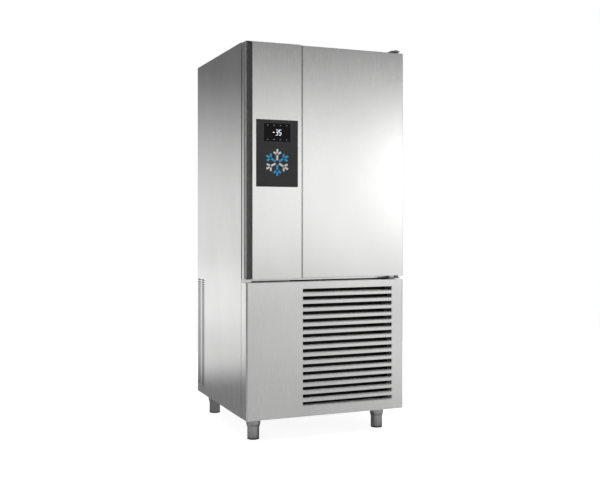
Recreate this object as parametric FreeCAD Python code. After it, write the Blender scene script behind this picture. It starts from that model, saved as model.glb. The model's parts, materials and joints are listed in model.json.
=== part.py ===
"""Upright blast chiller: foamed cabinet over a condensing unit, one full-width door, adjustable feet.

Millimetres. +X is to the right seen from the front, -Y is the front, +Z is up.
The origin is on the floor, under the middle of the outer box.
"""
import FreeCAD, Part
import math
import os

Vector = FreeCAD.Vector

# ---------------------------------------------------------------- driving dimensions
# outer box
body_width = 790.0
overall_depth = 800.0  # from the control fascia to the heads of the rear screws
body_height = 1700.0  # cabinet without its feet
foot_height = 110.0
outer_sheet = 1.0  # folded stainless skins
fold_radius = 1.0  # outer radius of the cabinet folds that show
compartment_height = 615.0  # lower front panel
screw_head = 3.0
screw_width = 10.0  # across corners of a hexagon head

# foamed cell
wall = 60.0  # outer face to inner face, sides, back and top
cell_floor_wall = 60.0  # compartment ceiling to cell floor
ceiling_gap = 4.0  # top of the lower front panel to the compartment ceiling
liner_sheet = 1.0
liner_corner = 15.0  # coved edges from front to back
front_flange = 48.0  # steel seat of the door seal
rear_flange = 25.0
top_rear_flange = 20.0
break_depth = 6.0  # plastic strip between the outer skin and the liner

# door
door_thickness = 60.0
door_gap = 14.0  # over the lower front panel
door_top_drop = 4.0  # below the cabinet top
door_side_flange = 20.0
door_bend = 2.5  # outer radius of the door's front folds
strip_left = 27.4  # left edge of the control strip from the left side
strip_right = 265.4
groove_width = 6.0
groove_depth = 14.0
groove_ledge = 12.0
skin_inset = 6.0  # from each end of the door to the main skin
plug_depth = 20.0  # how far the inner panel stands into the opening
plug_margin = 10.0  # from its sides to the cell walls
end_cap = 3.0
end_cap_edge = 2.0  # rounding of its front edge
seal_depth = 12.0  # from the door's back to the cabinet front
seal_width = 21.0
seal_neck = 13.0
seal_neck_depth = 6.0
seal_inset = 26.0  # outer edge of the seal from the cabinet's side
seal_rise = 13.0  # outer edge of the seal from the door's bottom
seal_drop = 18.0  # and from its top
contact_gap = 0.3

# grip along the door's left edge: distances from the left side and behind the front plane
grip_sheet = 1.2
grip_bend = 4.0
grip_wall_depth = 37.0
grip_lip_in = 9.0
grip_lip_depth = 30.0
grip_floor_in = 44.0
grip_floor_depth = 54.0
grip_pocket_in = 57.0

# control panel
fascia_proud = 0.8
fascia_left = 46.0
fascia_width = 201.0
fascia_height = 302.0
fascia_bottom = 1046.0  # above the cabinet's base
display_width = 127.0
display_height = 82.0
display_in = 37.0  # from the fascia's left edge
display_drop = 16.0  # from the fascia's top edge
display_thickness = 3.0
display_recess = 0.2
display_play = 0.5
board_width = 165.0
board_height = 270.0
board_depth = 18.0

# door hinge
hinge_side_inset = 24.0
hinge_front_inset = 28.0
hinge_pin_radius = 5.0
hinge_play = 0.06
hinge_pin_reach = 26.0
hinge_pin_head = 9.0
hinge_pin_head_height = 6.0
bush_width = 16.0
bush_length = 30.0
bracket_plate = 5.0
bracket_width = 44.0
bracket_side_inset = 11.0
bracket_on_top = 66.0  # length of the top bracket that lies on the cabinet
bracket_front_inset = 6.0
lower_bracket_width = 68.0
lower_bracket_plate = 4.0
lower_bracket_leg = 38.0
lower_leg_width = 32.0
hinge_screw_width = 13.0
hinge_screw_head = 4.0
hinge_screw_inset = 18.0

# lower front panel
panel_sheet = 1.2
panel_bend = 8.0
panel_bottom_return = 30.0
louvre_count = 16
louvre_pitch = 34.45
louvre_length = 457.0
louvre_left = 271.3  # from the left side
louvre_first = 45.5  # lower edge of the lowest cut, above the base
louvre_cut = 20.5
louvre_lip = 6.5  # depth and height of the lip that is folded in at 45 degrees
post_width = 30.0
post_sheet = 2.0

# side vents
vent_rows = 49
vent_pitch = 11.7
vent_length = 50.0
vent_height = 6.0
vent_first = 23.0  # lowest slot, above the base
vent_rear_inset = 35.5  # rear column's centre from the rear face
vent_column_pitch = 68.1

# rear service panel
service_slots = 10
service_pitch = 44.0
service_slot_length = 260.0
service_slot_height = 10.0
service_first = 90.0
service_column_pitch = 320.0
panel_seam = 2.0

# base and feet
base_sheet = 2.0
base_flange = 40.0
foot_side_inset = 77.0
foot_front_inset = 128.0
foot_rear_inset = 56.0
sleeve_radius = 32.5
sleeve_length = 52.0
sleeve_top = 4.0
sleeve_taper = 12.0  # at its lower end, down to a narrow rim
sleeve_rim = 1.5
barrel_radius = 27.5
barrel_play = 0.4

# tray rack
tray_pitch = 65.0
first_tray = 40.0  # lowest slide above the cell floor
slide_sheet = 1.5
slide_shelf = 24.0
slide_leg = 15.0
slide_length = 385.0
slide_front_inset = 27.0  # from the cabinet's front face
upright_offset = 25.0  # inner face of the uprights from the cell wall
upright_depth = 20.0
upright_width = 25.0
upright_inset = 40.0  # from each end of the slides
rack_bottom = 10.0
rack_top = 10.0
hook_height = 20.0
hook_margin = 90.0

# evaporator
coil_side_gap = 67.0  # to the cell walls
coil_depth = 90.0
coil_rear_gap = 12.0
coil_margin = 62.0  # to the cell's floor and ceiling
coil_fins = 18
fin_thickness = 1.2
coil_frame = 14.0
side_plate = 2.0
side_plate_depth = 160.0
side_plate_flange = 18.0
side_plate_margin = 32.0
header_radius = 11.0
header_spread = 34.0
drip_tray_height = 16.0
drip_tray_sheet = 1.2

# evaporator cover
cover_sheet = 1.2
cover_depth = 37.0  # folded flanges
cover_front = 207.0  # its front face from the cell's back wall
cover_left = 47.0  # from the left cell wall
cover_right = 51.0
cover_margin = 42.0  # to the cell's floor and ceiling
cover_pivot_in = 8.0
cover_pivot_back = 13.0
cover_pin_radius = 4.0
cover_tab = 3.0
cover_tab_gap = 0.3
cover_tab_width = 26.0
fan_inset_share = 215.0 / 877.0  # fan centres from the cover's ends, as a share of its height
grille_radius = 150.0
grille_slot = 13.0
grille_pitch = 26.0
latch_radius = 10.0
latch_head = 8.0
latch_inset = 14.0
latch_margin = 90.0

# fans
fan_tip_radius = 143.0
fan_hub_radius = 44.0
fan_hub_length = 24.0
fan_hub_start = 24.0  # from the motor's seat
fan_blades = 5
blade_sheet = 1.5
blade_chord = 78.0
blade_camber = 8.0
blade_pitch_angle = 32.0
blade_root = 4.0  # how far the blades start inside the hub
tip_drop = 1.5
motor_radius = 30.0  # the turning can of the motor, which the hub is fitted on
motor_nose = 6.0  # how far the can stands out of the hub
motor_play = 0.05
hub_sides = 24  # flats of the folded hub ring and of the sleeves' bores

# condensing unit
condenser_left = 265.0  # from the left side
condenser_right = 55.0  # from the right side
condenser_top = 590.0  # above the base
condenser_depth = 45.0
condenser_fins = 15
condenser_front = 27.0  # behind the cabinet's front face
filter_depth = 8.0
filter_frame = 12.0
shroud_depth = 40.0
shroud_sheet = 1.5
shroud_clearance = 7.0
condenser_tip_radius = 165.0
spider_width = 14.0
spider_sheet = 4.0
spider_spacing = 34.0
spider_stand = 45.0  # motor's seat behind the shroud
compressor_right = 225.0  # middle, from the right side
compressor_rear = 247.0  # and from the rear face
compressor_radius = 100.0
compressor_height = 270.0
compressor_shoulder = 30.0
compressor_plate = 4.0
compressor_plate_size = 210.0
grommet_width = 26.0
grommet_height = 22.0
grommet_spacing = 170.0
receiver_left = 195.0
receiver_rear = 157.0
receiver_radius = 55.0
receiver_height = 240.0
drier_rear = 307.0
drier_radius = 24.0
drier_height = 130.0
pipe_radius = 7.0
pipe_play = 0.4
pipe_sides = 8  # hidden pipes and the holes for them are drawn with flats
can_sides = 32
box_left = 14.0  # electrical box from the left side
box_width = 232.0
box_height = 360.0
box_depth = 120.0
box_sheet = 1.5
drain_x = -60.0
drain_y = 100.0
drain_radius = 16.0
drain_bore = 13.5
drain_pipe_radius = 15.0  # above the base, where the spigot's shoulder stands against it
drain_reach = 25.0  # below the base
gland_right = 95.0
gland_rear = 147.0
gland_width = 28.0  # across corners
gland_bore = 8.0
gland_reach = 18.0

# ---------------------------------------------------------------- planes worked out from them
x_side = body_width / 2
y_front = -overall_depth / 2 + fascia_proud
y_rear = overall_depth / 2 - screw_head
z_base = foot_height
z_top = foot_height + body_height
y_door_back = y_front + door_thickness
y_cabinet = y_door_back + seal_depth
x_inside = x_side - outer_sheet
x_flange = x_side - front_flange
y_inside_front = y_cabinet + outer_sheet
y_inside_rear = y_rear - 2 * outer_sheet
z_panel_top = z_base + compartment_height
z_ceiling = z_panel_top + ceiling_gap
z_door_low = z_panel_top + door_gap
z_door_high = z_top - door_top_drop
x_cell = x_side - wall
y_cell_rear = y_rear - wall
z_cell_low = z_ceiling + cell_floor_wall
z_cell_high = z_top - wall
tray_levels = int((z_cell_high - z_cell_low - first_tray) // tray_pitch)
break_width = x_flange - x_cell
z_sill_top = z_cell_low - break_width
z_lintel_low = z_cell_high + break_width
y_break_back = y_cabinet + break_depth
x_strip_left = -x_side + strip_left
x_strip_right = -x_side + strip_right
x_main_left = x_strip_right + groove_width
z_main_low = z_door_low + skin_inset
z_main_high = z_door_high - skin_inset
hinge_x = x_side - hinge_side_inset
hinge_y = y_front + hinge_front_inset
x_fascia = -x_side + fascia_left
z_fascia = z_base + fascia_bottom
x_display = x_fascia + display_in
z_display = z_fascia + fascia_height - display_drop - display_height
y_cover = y_cell_rear - cover_front
x_cover_left = -x_cell + cover_left
x_cover_right = x_cell - cover_right
z_cover_low = z_cell_low + cover_margin
z_cover_high = z_cell_high - cover_margin
cover_pivot_x = x_cover_left + cover_pivot_in
cover_pivot_y = y_cover + cover_pivot_back
x_cover_mid = (x_cover_left + x_cover_right) / 2
fan_inset = (z_cover_high - z_cover_low) * fan_inset_share
fan_heights = [z_cover_low + fan_inset, z_cover_high - fan_inset]
y_coil_rear = y_cell_rear - coil_rear_gap
y_coil_front = y_coil_rear - coil_depth
z_pan = z_base + base_sheet
x_condenser = -x_side + condenser_left
y_condenser = y_cabinet + condenser_front
y_condenser_back = y_condenser + condenser_depth
z_condenser_top = z_base + condenser_top
x_condenser_right = x_side - condenser_right
x_condenser_mid = (x_condenser + x_condenser_right) / 2
z_condenser_mid = (z_pan + z_condenser_top) / 2
y_shroud_back = y_condenser_back + shroud_depth
coil_half = x_cell - coil_side_gap
suction_x = coil_half - header_spread
suction_y = y_coil_front - header_radius - contact_gap
compressor_x = x_side - compressor_right
compressor_y = y_rear - compressor_rear
receiver_x = -x_side + receiver_left
receiver_y = y_rear - receiver_rear
drier_x = receiver_x
drier_y = y_rear - drier_rear
gland_x = x_side - gland_right
gland_y = y_rear - gland_rear
foot_places = {
    "front_left": (-x_side + foot_side_inset, y_front + foot_front_inset),
    "front_right": (x_side - foot_side_inset, y_front + foot_front_inset),
    "rear_left": (-x_side + foot_side_inset, y_rear - foot_rear_inset),
    "rear_right": (x_side - foot_side_inset, y_rear - foot_rear_inset),
}

UP = Vector(0, 0, 1)
BACK = Vector(0, 1, 0)
RIGHT = Vector(1, 0, 0)


# ---------------------------------------------------------------- shapes used by several pieces
def box(x0, x1, y0, y1, z0, z1):
    return Part.makeBox(x1 - x0, y1 - y0, z1 - z0, Vector(x0, y0, z0))


def rod(radius, length, x, y, z, direction=UP):
    return Part.makeCylinder(radius, length, Vector(x, y, z), direction)


def mirrored(shape):
    return shape.mirror(Vector(0, 0, 0), RIGHT)


def plan(height):
    """Places 2D points at a height, seen from above."""
    return lambda a, b: Vector(a, b, height)


def section(x):
    """Places 2D points (depth, height) at a distance to the right."""
    return lambda a, b: Vector(x, a, b)


def polygon(points, place, direction):
    corners = [place(a, b) for a, b in points]
    return Part.Face(Part.makePolygon(corners + corners[:1])).extrude(direction)


def offset_left(points, distance):
    """The polyline moved to its left by a distance, with mitred corners."""
    normals = []
    for (ax, ay), (bx, by) in zip(points, points[1:]):
        length = math.hypot(bx - ax, by - ay)
        normals.append(((ay - by) / length, (bx - ax) / length))
    before = [normals[0]] + normals
    after = normals + [normals[-1]]
    moved = []
    for (x, y), (ax, ay), (bx, by) in zip(points, before, after):
        scale = distance / (1 + ax * bx + ay * by)
        moved.append((x + (ax + bx) * scale, y + (ay + by) * scale))
    return moved


def turns(points):
    """For each inner corner, whether the path turns left."""
    found = []
    for (ax, ay), (bx, by), (cx, cy) in zip(points, points[1:], points[2:]):
        found.append((bx - ax) * (cy - by) - (by - ay) * (cx - bx) > 0)
    return found


def rounded_edges(points, radii, place):
    """Straight runs joined by tangent arcs, one radius for each inner corner, or 0 for a sharp one."""
    edges = []
    start = Vector(*points[0], 0)
    for corner, following, radius in zip(points[1:-1], points[2:], radii):
        corner = Vector(*corner, 0)
        if radius <= 0:
            edges.append(Part.LineSegment(place(start.x, start.y), place(corner.x, corner.y)).toShape())
            start = corner
            continue
        inward = (start - corner).normalize()
        onward = (Vector(*following, 0) - corner).normalize()
        half = inward.getAngle(onward) / 2
        reach = radius / math.tan(half)
        bisector = (inward + onward).normalize()
        centre = corner + bisector * (radius / math.sin(half))
        ends = [corner + inward * reach, centre - bisector * radius, corner + onward * reach]
        ends = [place(p.x, p.y) for p in ends]
        edges.append(Part.LineSegment(place(start.x, start.y), ends[0]).toShape())
        edges.append(Part.Arc(*ends).toShape())
        start = corner + onward * reach
    edges.append(Part.LineSegment(place(start.x, start.y), place(*points[-1])).toShape())
    return edges


def folded_sheet(points, thickness, place, direction, bends=None):
    """A bent sheet: its visible side follows the points, and its thickness lies to their left.

    bends gives each fold's outer radius, and a fold left out is sharp."""
    hidden = offset_left(points, thickness)
    bends = bends or [0] * (len(points) - 2)
    near = [bend if left else bend - thickness for left, bend in zip(turns(points), bends)]
    far = [bend - thickness if left else bend for left, bend in zip(turns(points), bends)]
    edges = rounded_edges(points, near, place)
    edges += rounded_edges(hidden[::-1], far[::-1], place)
    edges.append(Part.LineSegment(place(*points[0]), place(*hidden[0])).toShape())
    edges.append(Part.LineSegment(place(*points[-1]), place(*hidden[-1])).toShape())
    outline = Part.Wire(Part.sortEdges(edges)[0])
    return Part.Face(outline).extrude(direction)


def largest(shape):
    return max(shape.Solids, key=lambda solid: solid.Volume)


def hexagon_head(width, height, centre, direction):
    """A hexagon screw head that stands on its seat."""
    side = Vector(0, 0, 1) if direction.z == 0 else RIGHT
    across = direction.cross(side)
    corners = []
    for step in range(7):
        angle = step * math.pi / 3
        corners.append(centre + (side * math.cos(angle) + across * math.sin(angle)) * (width / 2))
    return Part.Face(Part.makePolygon(corners)).extrude(direction * height)


def facets(radius, centre, sides, direction=UP):
    """A closed ring of flats outside a circle, for small bores and pipes that stay hidden."""
    side = RIGHT
    across = direction.cross(side)
    reach = radius / math.cos(math.pi / sides)
    corners = []
    for step in range(sides + 1):
        angle = (step + 0.5) * 2 * math.pi / sides
        corners.append(centre + side * (reach * math.cos(angle)) + across * (reach * math.sin(angle)))
    return Part.makePolygon(corners)


def prism(radius, length, centre, sides, direction=UP):
    return Part.Face(facets(radius, centre, sides, direction)).extrude(direction * length)


def passage(radius, length, x, y, z):
    """An upright hole with clearance round a pipe."""
    return prism(radius + pipe_play, length, Vector(x, y, z), pipe_sides)


def pipe(points, radius):
    """A soldered pipe that starts upright: straight runs that meet in tight elbows."""
    points = [Vector(*point) for point in points]
    spine = Part.makePolygon(points)
    shell = Part.BRepOffsetAPI.MakePipeShell(spine)
    shell.setTransitionMode(1)
    shell.add(facets(radius * math.cos(math.pi / pipe_sides), points[0], pipe_sides))
    shell.build()
    shell.makeSolid()
    return shell.shape()


def finned_block(x0, x1, y0, y1, z0, z1, fins):
    """A heat exchanger: upright fins between its end plates, open from front to back."""
    block = box(x0, x1, y0, y1, z0, z1)
    pitch = (x1 - x0 - fin_thickness) / fins
    slots = []
    for number in range(fins):
        left = x0 + number * pitch + fin_thickness
        slots.append(box(left, left + pitch - fin_thickness, y0, y1, z0 + coil_frame, z1 - coil_frame))
    return block.cut(slots)


# ---------------------------------------------------------------- cabinet skins
def side_sheet():
    """The left side, folded in front as the door's seat and behind as the back panel's."""
    profile = [
        (-x_side + rear_flange, y_inside_rear + outer_sheet),
        (-x_side, y_inside_rear + outer_sheet),
        (-x_side, y_cabinet),
        (-x_flange, y_cabinet),
    ]
    return folded_sheet(profile, outer_sheet, plan(z_base), UP * body_height, [0, fold_radius])


def left_side_panel():
    """Side with two columns of outlet slots beside the condensing unit."""
    slots = []
    for column in range(2):
        middle = y_rear - vent_rear_inset - column * vent_column_pitch
        for row in range(vent_rows):
            low = z_base + vent_first + row * vent_pitch
            slots.append(
                box(
                    -x_side - outer_sheet,
                    -x_inside + outer_sheet,
                    middle - vent_length / 2,
                    middle + vent_length / 2,
                    low,
                    low + vent_height,
                )
            )
    return side_sheet().cut(slots)


def right_side_panel():
    return mirrored(side_sheet())


def top_panel():
    profile = [
        (y_inside_rear + outer_sheet, z_top - top_rear_flange),
        (y_inside_rear + outer_sheet, z_top),
        (y_cabinet, z_top),
        (y_cabinet, z_lintel_low),
    ]
    sheet = folded_sheet(profile, outer_sheet, section(-x_inside), RIGHT * 2 * x_inside, [0, fold_radius])
    notches = []
    for side in (-1, 1):
        outer = sorted((side * x_flange, side * x_side))
        notches.append(box(*outer, y_cabinet, y_inside_front, z_lintel_low, z_top))
        rear = sorted((side * (x_side - rear_flange), side * x_side))
        notches.append(box(*rear, y_inside_rear, y_rear, z_lintel_low, z_top))
    return sheet.cut(notches)


def back_panel():
    return box(-x_inside, x_inside, y_rear - outer_sheet, y_rear, z_panel_top + panel_seam, z_top)


def rear_service_panel():
    """Removable cover behind the condensing unit, with two columns of outlet slots."""
    panel = box(-x_inside, x_inside, y_rear - outer_sheet, y_rear, z_base, z_panel_top)
    slots = []
    for side in (-1, 1):
        middle = side * service_column_pitch / 2
        for row in range(service_slots):
            low = z_base + service_first + row * service_pitch
            slots.append(
                box(
                    middle - service_slot_length / 2,
                    middle + service_slot_length / 2,
                    y_rear - 2 * outer_sheet,
                    y_rear + outer_sheet,
                    low,
                    low + service_slot_height,
                )
            )
    return panel.cut(slots)


def cell_floor_skin():
    """Underside of the foamed cell, turned up in front as the sill that the door seal meets."""
    profile = [
        (y_cabinet, z_sill_top),
        (y_cabinet, z_ceiling),
        (y_inside_rear, z_ceiling),
    ]
    sheet = folded_sheet(profile, outer_sheet, section(-x_inside), RIGHT * 2 * x_inside, [fold_radius])
    notches = []
    for side in (-1, 1):
        outer = sorted((side * x_flange, side * x_side))
        notches.append(box(*outer, y_cabinet, y_inside_front, z_ceiling, z_sill_top))
    notches.append(passage(drain_pipe_radius, wall, drain_x, drain_y, z_ceiling - wall / 2))
    notches.append(passage(pipe_radius, wall, suction_x, suction_y, z_ceiling - wall / 2))
    return sheet.cut(notches)


def cabinet_insulation():
    """Foam injected between the skins and the liner."""
    z_low = z_ceiling + outer_sheet
    z_high = z_top - outer_sheet
    foam = box(-x_inside, x_inside, y_inside_front, y_inside_rear, z_low, z_high)
    x_cut = x_cell + liner_sheet
    cell = box(
        -x_cut,
        x_cut,
        y_cabinet,
        y_cell_rear + liner_sheet,
        z_cell_low - liner_sheet,
        z_cell_high + liner_sheet,
    )
    mouth_back = y_break_back + liner_sheet
    mouth = box(-x_flange, x_flange, y_cabinet, mouth_back, z_sill_top, z_lintel_low)
    through = [
        passage(drain_pipe_radius, 2 * wall, drain_x, drain_y, z_low - wall / 2),
        passage(pipe_radius, 2 * wall, suction_x, suction_y, z_low - wall / 2),
    ]
    return foam.cut([cell, mouth] + through)


def cell_liner():
    """Pressed inner tank with coved corners and a narrow flange round its mouth."""
    outer = box(
        -x_cell - liner_sheet,
        x_cell + liner_sheet,
        y_break_back,
        y_cell_rear + liner_sheet,
        z_cell_low - liner_sheet,
        z_cell_high + liner_sheet,
    )
    inner = box(-x_cell, x_cell, y_break_back - wall, y_cell_rear, z_cell_low, z_cell_high)
    tank = outer.makeFillet(liner_corner + liner_sheet, coved_edges(outer))
    room = inner.makeFillet(liner_corner, coved_edges(inner))
    flange = box(
        -x_flange,
        x_flange,
        y_break_back,
        y_break_back + liner_sheet,
        z_sill_top,
        z_lintel_low,
    )
    holes = [
        passage(drain_pipe_radius, wall, drain_x, drain_y, z_cell_low - wall / 2),
        passage(pipe_radius, wall, suction_x, suction_y, z_cell_low - wall / 2),
    ]
    return tank.fuse(flange).cut([room] + holes)


def coved_edges(block):
    """The edges of a box that run from front to back."""
    return [edge for edge in block.Edges if edge.BoundBox.XLength + edge.BoundBox.ZLength < 1]


def thermal_break_frame():
    ring = box(-x_flange, x_flange, y_cabinet, y_break_back, z_sill_top, z_lintel_low)
    mouth = box(-x_cell, x_cell, y_cabinet, y_break_back, z_cell_low, z_cell_high)
    return ring.cut(mouth)


def cell_drain():
    """Floor outlet and its straight pipe, which ends under the base as a wider spigot."""
    low = z_base - drain_reach
    pipe_length = z_cell_low - z_base
    spigot = rod(drain_radius, drain_reach, drain_x, drain_y, low)
    tube = rod(drain_pipe_radius, pipe_length, drain_x, drain_y, z_base)
    return spigot.fuse(tube).cut(rod(drain_bore, drain_reach + pipe_length, drain_x, drain_y, low))


# ---------------------------------------------------------------- base and feet
def base_frame():
    """Pan with turned-up edges that carries the condensing unit."""
    z_edge = z_base + base_flange
    pan = box(-x_inside, x_inside, y_inside_front, y_inside_rear, z_base, z_edge)
    inside = box(
        -x_inside + base_sheet,
        x_inside - base_sheet,
        y_inside_front + base_sheet,
        y_inside_rear - base_sheet,
        z_pan,
        z_edge,
    )
    holes = [
        passage(drain_pipe_radius, wall, drain_x, drain_y, z_base - wall / 2),
        passage(gland_bore, wall, gland_x, gland_y, z_base - wall / 2),
    ]
    return pan.cut([inside] + holes)


def foot_sleeves():
    """Fixed upper parts of the feet, under the base."""
    z_end = z_base - sleeve_length
    sleeves = []
    for x, y in foot_places.values():
        rim = barrel_radius + barrel_play + sleeve_rim
        sleeve = Part.makeCone(rim, sleeve_radius, sleeve_taper, Vector(x, y, z_end))
        sleeve = sleeve.fuse(rod(sleeve_radius, sleeve_length - sleeve_taper, x, y, z_end + sleeve_taper))
        depth = sleeve_length - sleeve_top
        bore = prism(barrel_radius + barrel_play, depth, Vector(x, y, z_end), hub_sides)
        sleeves.append(sleeve.cut(bore))
    return Part.makeCompound(sleeves)


def foot(x, y):
    """Barrel of one foot: it screws into its sleeve."""
    return rod(barrel_radius, z_base - sleeve_top - contact_gap, x, y, 0)


# ---------------------------------------------------------------- lower front
def lower_front_panel():
    """Box-shaped louvred cover: sides, top and bottom are turned back towards the cabinet."""
    profile = [
        (-x_side, y_cabinet),
        (-x_side, y_front),
        (x_side, y_front),
        (x_side, y_cabinet),
    ]
    low = z_base + panel_sheet
    high = z_panel_top - panel_sheet
    bends = [panel_bend, panel_bend]
    panel = folded_sheet(profile, panel_sheet, plan(low), UP * (high - low), bends)
    y_top_end = y_cabinet - lower_bracket_plate - contact_gap
    top = box(-x_side, x_side, y_front, y_top_end, high, z_panel_top)
    bottom = box(-x_side, x_side, y_front, y_front + panel_bottom_return, z_base, low)
    trim = [edge for edge in top.Edges if is_upright(edge) and edge.BoundBox.YMax < y_front + 1]
    top = top.makeFillet(panel_bend, trim)
    trim = [edge for edge in bottom.Edges if is_upright(edge) and edge.BoundBox.YMax < y_front + 1]
    bottom = bottom.makeFillet(panel_bend, trim)
    panel = panel.fuse([top, bottom])
    cuts = []
    lips = []
    x_left = -x_side + louvre_left
    for number in range(louvre_count):
        z_low = z_base + louvre_first + number * louvre_pitch
        cuts.append(
            box(
                x_left,
                x_left + louvre_length,
                y_front - panel_sheet,
                y_front + 2 * panel_sheet,
                z_low,
                z_low + louvre_cut,
            )
        )
        lips.append(
            polygon(
                [
                    (y_front, z_low),
                    (y_front + louvre_lip, z_low + louvre_lip),
                    (y_front + louvre_lip + panel_sheet, z_low + louvre_lip - panel_sheet / 2),
                    (y_front + panel_sheet, z_low - panel_sheet / 2),
                ],
                section(x_left),
                RIGHT * louvre_length,
            )
        )
    return panel.cut(cuts).fuse(lips).removeSplitter()


def is_upright(edge):
    span = edge.BoundBox
    return span.ZLength > max(span.XLength, span.YLength)


def front_posts():
    """Corner posts that carry the front of the cell and the lower panel's screws."""
    profile = [
        (-x_inside, y_inside_front + post_width),
        (-x_inside, y_inside_front),
        (-x_inside + post_width, y_inside_front),
    ]
    low = z_base + base_flange
    post = folded_sheet(profile, post_sheet, plan(low), UP * (z_ceiling - low))
    return Part.makeCompound([post, mirrored(post)])


# ---------------------------------------------------------------- door
def door_main_skin():
    profile = [
        (x_main_left, y_front + groove_depth),
        (x_main_left, y_front),
        (x_side, y_front),
        (x_side, y_door_back - outer_sheet),
        (x_side - door_side_flange, y_door_back - outer_sheet),
    ]
    height = z_main_high - z_main_low
    return folded_sheet(profile, outer_sheet, plan(z_main_low), UP * height, [fold_radius, door_bend, 0])


def door_control_strip():
    """Separate strip left of the groove: it ends in a hem behind the grip's mouth."""
    x_pocket = -x_side + grip_pocket_in
    y_fold = y_front + groove_depth
    profile = [
        (x_pocket, y_fold),
        (x_strip_left, y_fold),
        (x_strip_left, y_front),
        (x_strip_right, y_front),
        (x_strip_right, y_fold),
        (x_strip_right + groove_ledge, y_fold),
    ]
    height = z_door_high - z_door_low - 2 * end_cap
    bends = [0, door_bend, fold_radius, 0]
    strip = folded_sheet(profile, outer_sheet, plan(z_door_low + end_cap), UP * height, bends)
    window = box(
        x_display - display_play,
        x_display + display_width + display_play,
        y_front - outer_sheet,
        y_front + 2 * outer_sheet,
        z_display - display_play,
        z_display + display_height + display_play,
    )
    return strip.cut(window)


def grip_outline():
    return [
        (-x_side + door_side_flange, y_door_back - outer_sheet),
        (-x_side, y_door_back - outer_sheet),
        (-x_side, y_front + grip_wall_depth),
        (-x_side + grip_lip_in, y_front + grip_lip_depth),
        (-x_side + grip_floor_in, y_front + grip_floor_depth - outer_sheet),
        (-x_side + grip_pocket_in, y_front + grip_floor_depth - outer_sheet),
        (-x_side + grip_pocket_in, y_front + groove_depth),
    ]


def door_handle_grip():
    """Full-height finger grip: side wall, lip, slanted floor and the pocket behind the strip."""
    height = z_door_high - z_door_low - 2 * end_cap
    bends = [0, 0, grip_bend, 0, 0]
    return folded_sheet(grip_outline(), grip_sheet, plan(z_door_low + end_cap), UP * height, bends)


def door_end_caps():
    """Plates that close the door's two parts above and below: the narrow ones close the grip too."""
    caps = []
    y_back = y_door_back - outer_sheet
    bushes = hinge_bush_solids()
    for z_main, z_strip, z_outside in (
        (z_main_low - end_cap, z_door_low, 0),
        (z_main_high, z_door_high - end_cap, end_cap),
    ):
        wide = box(x_main_left, x_side, y_front, y_back, z_main, z_main + end_cap)
        wide = rounded_cap(wide, z_main + z_outside, 1)
        caps.append(largest(wide.cut(bushes + [door_control_strip()])))
        narrow = box(-x_side, x_strip_right, y_front, y_back, z_strip, z_strip + end_cap)
        narrow = rounded_cap(narrow, z_strip + z_outside, -1)
        bridge = box(x_strip_right, x_main_left, y_front + groove_depth, y_back, z_strip, z_strip + end_cap)
        caps.append(narrow.fuse(bridge).removeSplitter())
    return Part.makeCompound(caps)


def rounded_cap(cap, z_outside, side):
    """A cap with the door's corner at one side, and a rounded front edge on its outside."""
    corners = [edge for edge in cap.Edges if is_corner(edge) and edge.BoundBox.YMax < y_front + 1]
    cap = cap.makeFillet(door_bend, [edge for edge in corners if edge.CenterOfMass.x * side > x_side - 1])
    fronts = [edge for edge in cap.Edges if lies_in_front(edge)]
    outer = [edge for edge in fronts if abs(edge.CenterOfMass.z - z_outside) < 1e-3]
    return cap.makeFillet(end_cap_edge, outer)


def lies_in_front(edge):
    span = edge.BoundBox
    return span.YMax < y_front + 1e-3 and span.XLength > 1


def is_corner(edge):
    span = edge.BoundBox
    return span.XLength < 1e-6 and span.YLength < 1e-6


def door_inner_panel():
    """Pressed inner skin: a flat rim for the seal round a shallow plug."""
    margin = 2 * outer_sheet
    z_low = z_door_low + margin
    z_high = z_door_high - margin
    rim = box(-x_side + margin, x_side - margin, y_door_back - outer_sheet, y_door_back, z_low, z_high)
    x_plug = x_cell - plug_margin
    z_plug_low = z_cell_low + plug_margin
    z_plug_high = z_cell_high - plug_margin
    y_plug = y_door_back + plug_depth
    plug = box(-x_plug, x_plug, y_door_back - outer_sheet, y_plug, z_plug_low, z_plug_high)
    hollow = box(
        -x_plug + outer_sheet,
        x_plug - outer_sheet,
        y_door_back - 2 * outer_sheet,
        y_plug - outer_sheet,
        z_plug_low + outer_sheet,
        z_plug_high - outer_sheet,
    )
    return rim.fuse(plug).cut(hollow)


def control_board():
    x_left = x_fascia + (fascia_width - board_width) / 2
    z_low = z_fascia + (fascia_height - board_height) / 2
    y_face = y_front - fascia_proud + display_recess + display_thickness
    return box(x_left, x_left + board_width, y_face, y_face + board_depth, z_low, z_low + board_height)


def control_fascia():
    """Dark overlay round the display."""
    plate = box(
        x_fascia,
        x_fascia + fascia_width,
        y_front - fascia_proud,
        y_front,
        z_fascia,
        z_fascia + fascia_height,
    )
    window = box(
        x_display,
        x_display + display_width,
        y_front - 2 * fascia_proud,
        y_front + fascia_proud,
        z_display,
        z_display + display_height,
    )
    return plate.cut(window)


def display_window():
    y_face = y_front - fascia_proud + display_recess
    return box(
        x_display,
        x_display + display_width,
        y_face,
        y_face + display_thickness,
        z_display,
        z_display + display_height,
    )


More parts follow.
